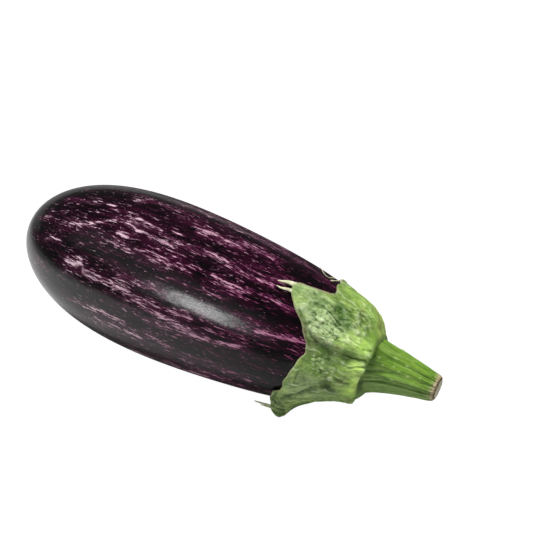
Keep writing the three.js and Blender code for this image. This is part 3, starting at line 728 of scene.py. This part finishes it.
def build_calyx():
    share = np.linspace(0, 1, CALYX_OUTER_ROWS + 1)[1:] ** 0.9
    grid_share, grid_angle = ring_grid(share, CALYX_COLUMNS)
    reach = grid_share * margin_reach(grid_angle)
    fine, tone, edge, lines = calyx_surface(grid_angle, grid_share)

    inner_height = blade_height(grid_angle, grid_share)
    rounding = np.sqrt(np.clip(1 - np.square(1 - np.clip(edge / MARGIN_BEVEL, 0, 1)), BEVEL_LEAST**2, 1))
    thickness = (calyx_thickness(grid_angle, grid_share) + fine) * rounding
    outer = over_fruit(grid_angle, reach, inner_height + np.maximum(thickness, OUTER_LEAST))
    inner = over_fruit(grid_angle, reach, inner_height)
    inner_rows = np.linspace(CALYX_OUTER_ROWS - 1, 4, CALYX_INNER_ROWS).astype(int)
    pole = np.zeros(1)
    poles = [over_fruit(pole, pole, height) for height in (GAP + CALYX_POLE_THICKNESS, GAP)]
    points = closed(np.concatenate([outer, inner[inner_rows]]), *poles)
    faces = outward(points, ring_faces(CALYX_OUTER_ROWS + CALYX_INNER_ROWS, CALYX_COLUMNS))
    attributes = {
        key: closed(np.concatenate([values, values[inner_rows]]), last=values[0, :1])
        for key, values in (("lines", lines), ("tone", tone))
    }
    # Across the bake map lie the outer face, then the inner face, then a strip with the threads.
    rings_across = np.concatenate([0.84 * share, np.linspace(0.86, 0.93, CALYX_INNER_ROWS)])
    across, round_share = ring_map(rings_across, CALYX_COLUMNS)
    across[-1] = 0.94

    for i, (root, point, *places) in enumerate(THREADS):
        more, more_faces, more_lines = thread_mesh(places, root, point)
        turn, along = np.meshgrid(np.linspace(0.95, 0.99, THREAD_SIDES), np.linspace(0, 0.9, THREAD_STEPS))
        across = np.concatenate([across, closed(turn, [0.97], [0.97])])
        round_share = np.concatenate([round_share, closed((i + along) / len(THREADS))])
        faces = faces + [tuple(corner + len(points) for corner in face) for face in more_faces]
        points = np.concatenate([points, more])
        # The threads at the lowest tip hang in shade and get a paler straw: painted light.
        straw = PAINTED_LIGHT_STRAW if LIT_THREADS_FROM < places[0][0] < LIT_THREADS_TO else STRAW
        added = {"lines": more_lines, "tone": np.tile(straw, (len(more), 1))}
        attributes = {key: np.concatenate([attributes[key], added[key]]) for key in added}
    return new_piece("calyx_cap", in_part(points), faces, attributes, across, round_share)


# ---- the stem

STEM_COLUMNS, STEM_SIDE_ROWS = 264, 150
STEM_SUNK = 1.2
STEM_TUBE = 12  # radius of the tube that the stem's patterns are laid round
# The cut end, from the last ring of the side inwards: x beyond the end, share of the radius.
STEM_CUT = (
    (-1.3, 0.985), (-0.9, 0.955), (-0.4, 0.91), (-0.05, 0.86), (0, 0.83), (-0.25, 0.8), (-0.5, 0.775),
    (-0.35, 0.755), (0.1, 0.735), (0.35, 0.7), (0.42, 0.62), (0.34, 0.5), (0.42, 0.4), (0.36, 0.28),
    (0.45, 0.15),
)
# The swollen foot of the stem: direction, spread, height, and where along the stem it fades.
FOOT_ANGLE, FOOT_SPREAD, FOOT_HEIGHT, FOOT_FROM, FOOT_TO = 27, 40, 1.9, 1.5, 10
STRINGS, STRING_HEIGHT = 29, 0.2
CUT_START = 1.6  # millimetres before the end where the dried rim begins
TOP_ANGLE = -10
# Greens by side, partly the stem's own colour and partly painted light: the underside is painted lighter to
# make up for its shade.
UNDER_GREEN, TOP_GREEN, LIME = (0.20, 0.325, 0.078), (0.155, 0.285, 0.037), (0.27, 0.45, 0.05)
# The darkest of these three greens is painted shade, for the grooves and the thin sunken lines.
PALE_STRAND, DARK_STRAND, GROOVE_SHADE_GREEN = (0.33, 0.47, 0.15), (0.07, 0.15, 0.02), (0.045, 0.13, 0.012)
PIP_GREEN, DRIED, BROWN_RIM = (0.45, 0.62, 0.24), (0.45, 0.47, 0.24), (0.20, 0.12, 0.05)
CUT_BROWN, CUT_CREAM, CUT_SPECK = (0.24, 0.17, 0.08), (0.50, 0.46, 0.27), (0.20, 0.13, 0.06)
CUT_GROOVE, GROOVE_PLACE = (0.03, 0.015, 0.008), 0.775
PITH, PITH_RING, PITH_SPECK = (0.66, 0.61, 0.43), (0.45, 0.46, 0.22), (0.42, 0.33, 0.17)
PIP_STRETCH, STEM_LENGTH = 1.7, 30  # pips are longer than wide, on a stem about this long
CUT_TUBE, CUT_MIDDLE = 6, 0.4
# Pale pips on the stem: place along (0 to 1), direction, and size in millimetres.
PIPS = (
    (0.16, 27, 0.9), (0.25, 38, 0.6), (0.37, 10, 1), (0.4, 33, 0.6), (0.55, 15, 0.7), (0.63, 45, 0.9),
    (0.44, 66, 0.8), (0.06, 5, 0.8), (0.72, 70, 0.5), (0.49, 41, 0.6), (0.8, 33, 0.6), (0.3, 88, 0.6),
    (0.35, -35, 1), (0.6, -70, 0.9), (0.25, -110, 1.1), (0.5, -150, 0.9), (0.7, 170, 0.8), (0.3, 140, 1),
)


def calyx_top_x(distance, angle):
    reach = distance.copy()
    for _ in range(6):
        share = reach / margin_reach(angle)
        point = over_fruit(angle, reach, blade_height(angle, share) + calyx_thickness(angle, share))
        reach = np.maximum(reach + distance - np.hypot(point[..., 1], point[..., 2]), 0)
    return point[..., 0]


def stem_tone(angle, lines, thin_lines, pip, x):
    """Colour of the stem's side: limy on top and duller below, partly painted light; painted shade in the
    grooves; dry at the cut.
    """
    top = smooth(np.cos(np.radians(turn_between(angle, TOP_ANGLE))), -0.3, 0.9)
    patch = noise(lines / (9, 3, 3), 81)
    fibre = rough(lines / (12, 0.9, 0.9), 82, 2)
    dried = noise(lines / (3, 1.6, 1.6), 83)
    to_end = STEM_END_X - x
    return painted(UNDER_GREEN, (
        # Partly painted light: the green changes with how far the side faces up, with lime patches on the top
        # alone.
        (top, TOP_GREEN),
        (0.5 * smooth(patch, 0, 0.8) * top, LIME),
        (0.45 * smooth(fibre, 0.1, 1), PALE_STRAND),
        (0.5 * smooth(-fibre, 0.1, 1), DARK_STRAND),
        # Painted shade: darker green in the grooves; along the thin sunken lines it is partly the stem's own
        # dark strands and partly painted shade.
        (0.22 * bell(off_groove(angle) / 2.2) + 0.5 * thin_lines, GROOVE_SHADE_GREEN),
        (0.7 * pip, PIP_GREEN),
        (0.8 * (1 - smooth(to_end, 1.4, 3.6)) * smooth(dried, -0.4, 0.6), DRIED),
        (0.55 * (1 - smooth(to_end, 1.5, 2.2)), BROWN_RIM),
    ))


def cut_tone(share, ragged):
    """Colour of the cut end: a dried rim, a dark groove inside it, and pale pith with a green ring."""
    return painted(CUT_BROWN, (
        (smooth(share, 0.84, 0.97), CUT_CREAM),
        (0.5 * smooth(ragged, 0, 1), CUT_SPECK),
        (bell((share - GROOVE_PLACE) / 0.04), CUT_GROOVE),
        (1 - smooth(share, 0.70, 0.745), PITH),
        (0.6 * bell((share - 0.5) / 0.06), PITH_RING),
        (0.3 * smooth(ragged, 0, 1), PITH_SPECK),
    ))


def build_stem():
    along = np.linspace(0, 1, STEM_SIDE_ROWS)
    grid_along, grid_angle = ring_grid(along, STEM_COLUMNS)
    angle = grid_angle[0]
    foot = stem_points(0 * angle, stem_radius(angle, 0.0), angle, 0 * angle)
    direction = np.degrees(np.arctan2(-foot[:, 1], foot[:, 2])) % 360
    foot_x = calyx_top_x(np.hypot(foot[:, 1], foot[:, 2]), direction) - STEM_SUNK
    x = mix(foot_x, STEM_END_X - CUT_START, grid_along)
    lines = laid_out(x, STEM_TUBE, grid_angle)
    plain = stem_radius(grid_angle, grid_along)
    pip = np.zeros_like(x)
    for place, side, size in PIPS:
        across = np.radians(turn_between(grid_angle, side)) * plain
        away = np.hypot((grid_along - place) * STEM_LENGTH / PIP_STRETCH, across)
        pip = np.maximum(pip, bell(away / (0.5 * size)))
    swollen = near_angle(grid_angle, FOOT_ANGLE, FOOT_SPREAD)
    swollen *= 1 - smooth(x - foot_x, FOOT_FROM, FOOT_TO)
    filled = GROOVE_BASE_DEPTH * bell(off_groove(grid_angle) / GROOVE_HALF_WIDTH) * swollen
    strings = np.cos(np.radians(grid_angle) * STRINGS + 2 * noise(lines / (12, 6, 6), 52))
    thin_lines = bell(noise(lines / (17, 1.3, 1.3), 84) / 0.13)
    fine = 0.12 * rough(lines / (6, 1.4, 1.4), 51, 3) - 0.16 * thin_lines + STRING_HEIGHT * strings
    fine += 0.3 * pip + filled + FOOT_HEIGHT * swollen
    side = stem_points(x, plain + fine, grid_angle, grid_along)

    beyond, shares = np.array(STEM_CUT).T
    cut_beyond, cut_angle = ring_grid(beyond, STEM_COLUMNS)
    cut_share = ring_grid(shares, STEM_COLUMNS)[0]
    ragged = rough(laid_out(9 * cut_share, CUT_TUBE, cut_angle) / 1.6, 91, 2)
    rim = (stem_radius(cut_angle, 1.0) + fine[-1]) * cut_share
    rim += 0.12 * ragged * smooth(cut_share, 0.3, 0.8)
    face = stem_points(STEM_END_X + cut_beyond + 0.1 * ragged, rim, cut_angle, np.ones_like(rim))
    first = stem_points(foot_x.mean(), 0, 0, 0.0)[None]
    last = stem_points(STEM_END_X + CUT_MIDDLE, 0, 0, 1.0)[None]
    points = closed(np.concatenate([side, face]), first, last)
    tone = np.concatenate([stem_tone(grid_angle, lines, thin_lines, pip, x), cut_tone(cut_share, ragged)])
    lines = np.concatenate([lines, np.repeat(lines[-1:], len(shares), axis=0)])
    faces = outward(points, ring_faces(STEM_SIDE_ROWS + len(shares), STEM_COLUMNS))
    rings_across = np.concatenate([0.01 + 0.8 * along, 0.82 + 0.17 * (1 - shares)])
    attributes = {"lines": closed(lines), "tone": closed(tone)}
    return new_piece("stem_stalk", in_part(points), faces, attributes, *ring_map(rings_across, STEM_COLUMNS))


# ---- materials


class Nodes:
    """Short calls for building a material's node tree."""

    def __init__(self, name):
        self.material = bpy.data.materials.new(name)
        self.material.use_nodes = True
        self.tree = self.material.node_tree
        self.shader = self.tree.nodes["Principled BSDF"]

    def link(self, value, socket):
        if isinstance(value, bpy.types.NodeSocket):
            self.tree.links.new(value, socket)
        else:
            socket.default_value = value

    def add(self, kind, inputs=None, **settings):
        node = self.tree.nodes.new(kind)
        for key, value in settings.items():
            setattr(node, key, value)
        for key, value in (inputs or {}).items():
            self.link(value, node.inputs[key])
        return node

    def attribute(self, name, output="Fac"):
        return self.add("ShaderNodeAttribute", attribute_name=name).outputs[output]

    def math(self, operation, a, b=0.0):
        return self.add("ShaderNodeMath", {0: a, 1: b}, operation=operation).outputs[0]

    def vector(self, operation, a, b):
        return self.add("ShaderNodeVectorMath", {0: a, 1: b}, operation=operation).outputs[0]

    def shaken(self, places, stretch, amount):
        """A noisy offset of up to about half the amount each way."""
        vector = self.vector("MULTIPLY", places, stretch)
        node = self.add("ShaderNodeTexNoise", {"Vector": vector, "Scale": 1.0})
        centred = self.vector("SUBTRACT", node.outputs["Color"], (0.5, 0.5, 0.5))
        return self.vector("MULTIPLY", centred, (0.3 * amount, amount, amount))

    def noise(self, places, stretch, detail=2.0, roughness=0.5):
        """Noise over places, with so many cells to the millimetre each way."""
        vector = self.vector("MULTIPLY", places, stretch)
        inputs = {"Vector": vector, "Scale": 1.0, "Detail": detail, "Roughness": roughness}
        return self.add("ShaderNodeTexNoise", inputs).outputs["Fac"]

    def spread(self, value, low, high, to_low=0.0, to_high=1.0):
        inputs = {"Value": value, "From Min": low, "From Max": high, "To Min": to_low, "To Max": to_high}
        return self.add("ShaderNodeMapRange", inputs).outputs["Result"]

    def blend(self, share, a, b):
        node = self.add("ShaderNodeMix", data_type="RGBA")
        self.link(share, node.inputs["Factor"])
        self.link(a, node.inputs[6])
        self.link(b, node.inputs[7])
        return node.outputs[2]

    def bump(self, height, strength, distance):
        inputs = {"Height": height, "Strength": strength, "Distance": distance}
        return self.add("ShaderNodeBump", inputs).outputs["Normal"]

    def finish(self, **inputs):
        for key, value in inputs.items():
            self.link(value, self.shader.inputs[key.replace("_", " ")])
        return self.material


def rgb(red, green, blue):
    return (red, green, blue, 1.0)


def grey(level):
    return rgb(level, level, level)


NEAR_BLACK, PLUM = rgb(0.0024, 0.0014, 0.0020), rgb(0.033, 0.0030, 0.0165)
# Colours of the streaks' fringes and of the pale dashes, near the blossom end and near the calyx.
FRINGE = (rgb(0.075, 0.026, 0.048), rgb(0.110, 0.012, 0.052))
DASH = (rgb(0.62, 0.45, 0.51), rgb(0.40, 0.155, 0.26))
SCAR_BROWN = rgb(0.16, 0.085, 0.04)


def skin_material():
    """Glossy near-black skin with broken dashes that crowd along the streaks."""
    n = Nodes("striped_skin")
    lines = n.attribute("lines", "Vector")
    streak = n.attribute("streak")
    haze = n.attribute("haze")
    drift = n.shaken(lines, (0.03, 0.12, 0.12), 3.0)
    jag = n.shaken(lines, (0.45, 0.9, 0.9), 0.9)
    moved = n.vector("ADD", lines, n.vector("ADD", drift, jag))
    fine = n.noise(moved, (0.22, 1.7, 1.7), 1.0)
    medium = n.noise(moved, (0.10, 0.75, 0.75), 2.0, 0.6)
    broad = n.noise(lines, (0.035, 0.2, 0.2))
    speck = n.noise(moved, (0.24, 2.3, 2.3), 1.0)
    plum = n.noise(moved, (0.06, 0.45, 0.45), 2.0, 0.6)

    value = n.math("ADD", n.math("MULTIPLY", fine, 0.5), n.math("MULTIPLY", medium, 0.5))
    loose = n.math("ADD", n.math("MULTIPLY", haze, 0.3), n.spread(broad, 0.42, 0.72, 0.0, 0.3))
    crowd = n.math("MAXIMUM", streak, loose)
    over = n.math("SUBTRACT", value, n.spread(crowd, 0.0, 1.0, 0.68, 0.45))
    specks = n.math("SUBTRACT", speck, n.spread(crowd, 0.0, 0.6, 0.74, 0.60))
    pale = n.math("MAXIMUM", n.spread(over, 0.0, 0.045), n.spread(specks, 0.0, 0.06, 0.0, 0.75))
    brightest = n.math("MAXIMUM", n.spread(over, 0.015, 0.10), n.spread(specks, 0.02, 0.12))
    plum_share = n.math("MULTIPLY", n.spread(plum, 0.38, 0.56), n.spread(crowd, 0.06, 0.5))

    along = n.add("ShaderNodeSeparateXYZ", {0: lines}).outputs[0]
    fringe = n.blend(n.spread(along, 60.0, 165.0), *FRINGE)
    dash = n.blend(n.spread(along, 70.0, 175.0), *DASH)
    dash = n.blend(brightest, n.blend(0.45, fringe, dash), dash)
    colour = n.blend(plum_share, NEAR_BLACK, PLUM)
    colour = n.blend(n.spread(over, -0.075, 0.005), colour, fringe)
    colour = n.blend(pale, colour, dash)
    colour = n.blend(n.spread(along, 2.2, 3.6, 1.0, 0.0), colour, SCAR_BROWN)
    grain = n.noise(lines, (0.8, 2.0, 2.0))
    return n.finish(
        Base_Color=colour,
        Roughness=n.spread(grain, 0.3, 0.7, 0.14, 0.24),
        IOR=1.5,
        Normal=n.bump(n.noise(lines, (0.15, 0.3, 0.3)), 0.15, 0.0006),
    )


def green_material(name, roughness_low, roughness_high):
    """Fleshy green whose colour is the mesh's tone, painted shade and highlights included, with fine mottling
    and grain.
    """
    n = Nodes(name)
    lines = n.attribute("lines", "Vector")
    tone = n.attribute("tone", "Color")
    lighter = n.vector("MULTIPLY", tone, (1.7, 1.5, 1.8))
    darker = n.vector("MULTIPLY", tone, (0.5, 0.62, 0.5))
    mottle = n.noise(lines, (0.5, 1.3, 1.3), 3.0, 0.65)
    colour = n.blend(n.spread(mottle, 0.5, 0.75, 0.0, 0.55), tone, lighter)
    colour = n.blend(n.spread(mottle, 0.5, 0.28, 0.0, 0.6), colour, darker)
    grain = n.noise(lines, (1.2, 2.6, 2.6), 3.0, 0.65)
    return n.finish(
        Base_Color=colour,
        Roughness=n.spread(grain, 0.3, 0.7, roughness_low, roughness_high),
        IOR=1.45,
        Normal=n.bump(grain, 0.7, 0.0006),
    )


# ---- studio


def only_seen_by(obj, seen_by):
    """Leaves an object visible to one kind of ray alone, and lets it cast no shadow."""
    for kind in ("camera", "diffuse", "glossy", "transmission", "volume_scatter", "shadow"):
        setattr(obj, "visible_" + kind, kind == seen_by)


TABLE_RADIUS, TABLE_DROP = 8, 0.0004
PAPER_RADIUS, PAPER_BEND, PAPER_HEIGHT, PAPER_DROP = 4.0, 1.0, 4.0, 0.0001
ROUND_SIDES = 96


def add_disc(name, nodes, colour, seen_by):
    """A flat table top just under the part, for one kind of ray."""
    bpy.ops.mesh.primitive_circle_add(
        vertices=ROUND_SIDES, radius=TABLE_RADIUS, fill_type="NGON", location=(0, 0, -TABLE_DROP)
    )
    disc = bpy.context.object
    disc.name = name
    disc.data.materials.append(nodes.finish(Base_Color=colour, Roughness=0.9))
    only_seen_by(disc, seen_by)
    return disc


def table_grey(n):
    """Grey of the mirrored table by place, painted light and shade: lit in front of the part, dim behind it
    and far off.
    """
    split = n.add("ShaderNodeSeparateXYZ", {0: n.add("ShaderNodeTexCoord").outputs["Object"]})
    x, y = split.outputs[0], split.outputs[1]
    in_front = n.math("ADD", n.spread(x, -0.16, 0.05, 0.72, 0.22), n.spread(x, 0.06, 0.12, 0.0, 0.3))
    in_front = n.math("MULTIPLY", in_front, n.spread(y, -0.30, -0.20, 0.2, 1.0))
    in_front = n.math("MULTIPLY", in_front, n.spread(x, -0.32, -0.20, 0.06, 1.0))
    behind = n.spread(x, -0.20, -0.11, 0.22, 0.03)
    behind_share = n.spread(y, -0.02, 0.12)
    level = n.math("MULTIPLY", in_front, n.math("SUBTRACT", 1.0, behind_share))
    level = n.math("ADD", level, n.math("MULTIPLY", behind, behind_share))
    return n.add("ShaderNodeCombineColor", {"Red": level, "Green": level, "Blue": level}).outputs[0]


def build_ground():
    """The table that mirrors in the fruit, the one that lights it, and the paper behind it all."""
    n = Nodes("white_table")
    table = add_disc("table", n, table_grey(n), "glossy")
    bounce = add_disc("table_bounce", Nodes("white_bounce"), grey(0.7), "diffuse")

    bends = np.linspace(0, math.pi / 2, 13)
    rims = [(PAPER_RADIUS + PAPER_BEND * math.sin(bend), PAPER_BEND * (1 - math.cos(bend))) for bend in bends]
    rims.append((PAPER_RADIUS + PAPER_BEND, PAPER_HEIGHT))
    turns = [math.tau * j / ROUND_SIDES for j in range(ROUND_SIDES)]
    points = [
        (radius * math.cos(turn), radius * math.sin(turn), height - PAPER_DROP)
        for radius, height in rims
        for turn in turns
    ]
    mesh = bpy.data.meshes.new("paper")
    mesh.from_pydata(points, [], [tuple(range(ROUND_SIDES)), *quads(len(rims), ROUND_SIDES)])
    mesh.polygons.foreach_set("use_smooth", np.ones(len(mesh.polygons), bool))
    paper = bpy.data.objects.new("paper", mesh)
    bpy.context.scene.collection.objects.link(paper)
    material = Nodes("white_paper").finish(
        Base_Color=grey(0.06),
        Roughness=1.0,
        Specular_IOR_Level=0.0,
        Emission_Color=grey(1),
        Emission_Strength=0.99,
    )
    mesh.materials.append(material)
    only_seen_by(paper, "camera")


# Greys of the room by the height of the direction looked in, from the level up to straight above.
ROOM_GREYS = ((0, 0.06), (0.1, 0.07), (0.3, 0.05), (1, 0.04))


def build_world():
    """A dim room, a little paler just above the table."""
    world = bpy.data.worlds.new("studio")
    bpy.context.scene.world = world
    world.use_nodes = True
    tree = world.node_tree
    direction = tree.nodes.new("ShaderNodeTexCoord")
    split = tree.nodes.new("ShaderNodeSeparateXYZ")
    ramp = tree.nodes.new("ShaderNodeValToRGB")
    tree.links.new(direction.outputs["Generated"], split.inputs[0])
    tree.links.new(split.outputs["Z"], ramp.inputs[0])
    tree.links.new(ramp.outputs[0], tree.nodes["Background"].inputs["Color"])
    stops = ramp.color_ramp.elements
    stops.remove(stops[1])
    stops[0].color = grey(ROOM_GREYS[0][1])
    for height, level in ROOM_GREYS[1:]:
        stops.new(height).color = grey(level)


def way_from(azimuth, elevation):
    """The direction at an azimuth from +X towards +Y, and an elevation, in degrees."""
    a, e = math.radians(azimuth), math.radians(elevation)
    return Vector((math.cos(a) * math.cos(e), math.sin(a) * math.cos(e), math.sin(e)))


def add_lamp(light, way, distance):
    """Hangs a light in a direction from the part, shining at it."""
    lamp = bpy.data.objects.new(light.name, light)
    lamp.location = way * distance
    lamp.rotation_mode = "QUATERNION"
    lamp.rotation_quaternion = way.to_track_quat("Z", "Y")
    bpy.context.scene.collection.objects.link(lamp)
    return lamp


def add_panel(name, way, distance, width, height, radiance):
    """A soft white panel of even brightness, facing the part."""
    light = bpy.data.lights.new(name, "AREA")
    light.shape = "RECTANGLE"
    light.size, light.size_y = width, height
    light.energy = radiance * math.pi * width * height
    add_lamp(light, way, distance).visible_camera = False


def add_key(way, strength, angle):
    """The broad light from above that shades the calyx; too soft to show as a spot in the gloss."""
    light = bpy.data.lights.new("key", "SUN")
    light.energy = strength
    light.angle = math.radians(angle)
    add_lamp(light, way, 0).visible_glossy = False


VIEW_AZIMUTH, VIEW_ELEVATION = -62.1, 40
VIEW_DISTANCE, VIEW_RIGHT, VIEW_UP = 642, 28.9, 12.65
LENS = 90


def build_camera():
    """Looks down at the belly's axis point, which lies left of and below the picture's middle."""
    back = way_from(VIEW_AZIMUTH, VIEW_ELEVATION)
    right = way_from(VIEW_AZIMUTH + 90, 0)
    up = back.cross(right)
    target = Vector(in_part(around(np.array(float(BELLY_X)), np.array(0.0), 0.0)))
    camera = bpy.data.objects.new("camera", bpy.data.cameras.new("camera"))
    camera.data.lens = LENS
    place = target + (right * VIEW_RIGHT + up * VIEW_UP + back * VIEW_DISTANCE) * MM
    camera.matrix_world = Matrix.Translation(place) @ Matrix((right, up, back)).transposed().to_4x4()
    bpy.context.scene.collection.objects.link(camera)
    bpy.context.scene.camera = camera


build_camera()
fruit = build_fruit()
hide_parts("fruit")
fruit.data.materials.append(skin_material())
calyx = build_calyx()
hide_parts("calyx")
calyx.data.materials.append(green_material("calyx_green", 0.32, 0.5))
stem = build_stem()
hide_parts("stem")
stem.data.materials.append(green_material("stem_green", 0.34, 0.46))
build_ground()
build_world()
add_panel("window", way_from(-99.5, 27), distance=1.0, width=0.15, height=0.26, radiance=13)
add_panel("front_panel", way_from(-126, 44), distance=1.6, width=1.6, height=0.85, radiance=0.28)
add_key(way_from(150, 72), strength=5.0, angle=30)
bpy.context.scene.view_settings.view_transform = "Standard"
